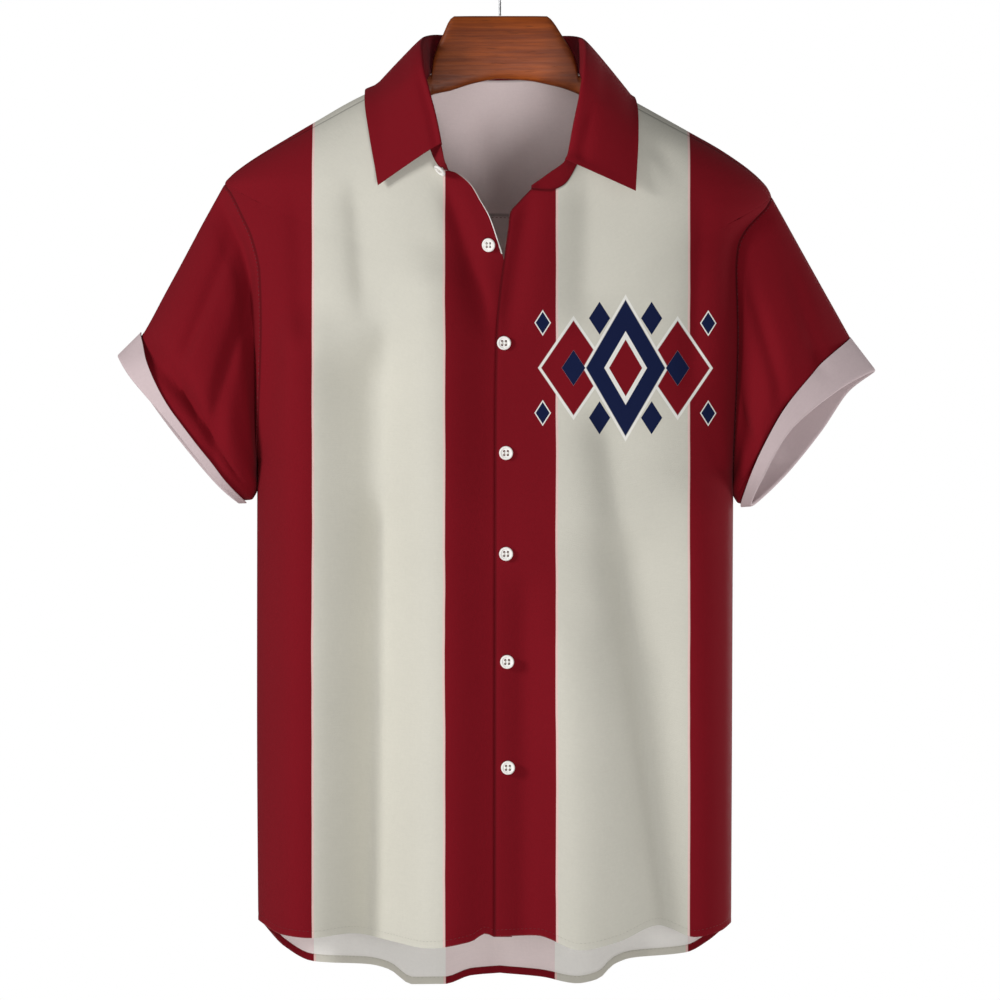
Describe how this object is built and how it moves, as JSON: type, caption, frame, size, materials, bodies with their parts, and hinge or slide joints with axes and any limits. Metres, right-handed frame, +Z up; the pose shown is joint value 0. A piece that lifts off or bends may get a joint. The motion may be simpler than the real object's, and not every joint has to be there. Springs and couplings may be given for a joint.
{
  "type": "short-sleeved bowling shirt on a wooden hanger",
  "caption": "Short-sleeved button-front bowling shirt with vertical colour panels, open collar, turned cuffs and curved tail, hung on a wooden hanger.",
  "frame": {"origin": "inside of the hanger hook's crown, where a rail carries it", "axes": "+X to the wearer's left sleeve, +Y to the shirt's back, +Z up"},
  "size_m": [0.6443, 0.1695, 0.8879],
  "materials": {
    "striped_cloth": "matte woven",
    "red_cloth": "matte woven",
    "cloth_wrong_side": "matte woven",
    "button_plastic": "glossy",
    "hanger_wood": "satin lacquer",
    "hook_steel": "bright wire"
  },
  "bodies": {
    "root": {"front_left": "striped_cloth", "front_right": "striped_cloth", "back": "striped_cloth", "yoke": "striped_cloth", "sleeve_left": "red_cloth", "sleeve_right": "red_cloth", "collar": "red_cloth", "collar_stand": "red_cloth", "cuff_left": "cloth_wrong_side", "cuff_right": "cloth_wrong_side", "hanger": "hanger_wood", "hanger_hook": "hook_steel", "button_collar": "button_plastic", "button_1": "button_plastic", "button_2": "button_plastic", "button_3": "button_plastic", "button_4": "button_plastic", "button_5": "button_plastic", "button_6": "button_plastic"}
  },
  "joints": []
}
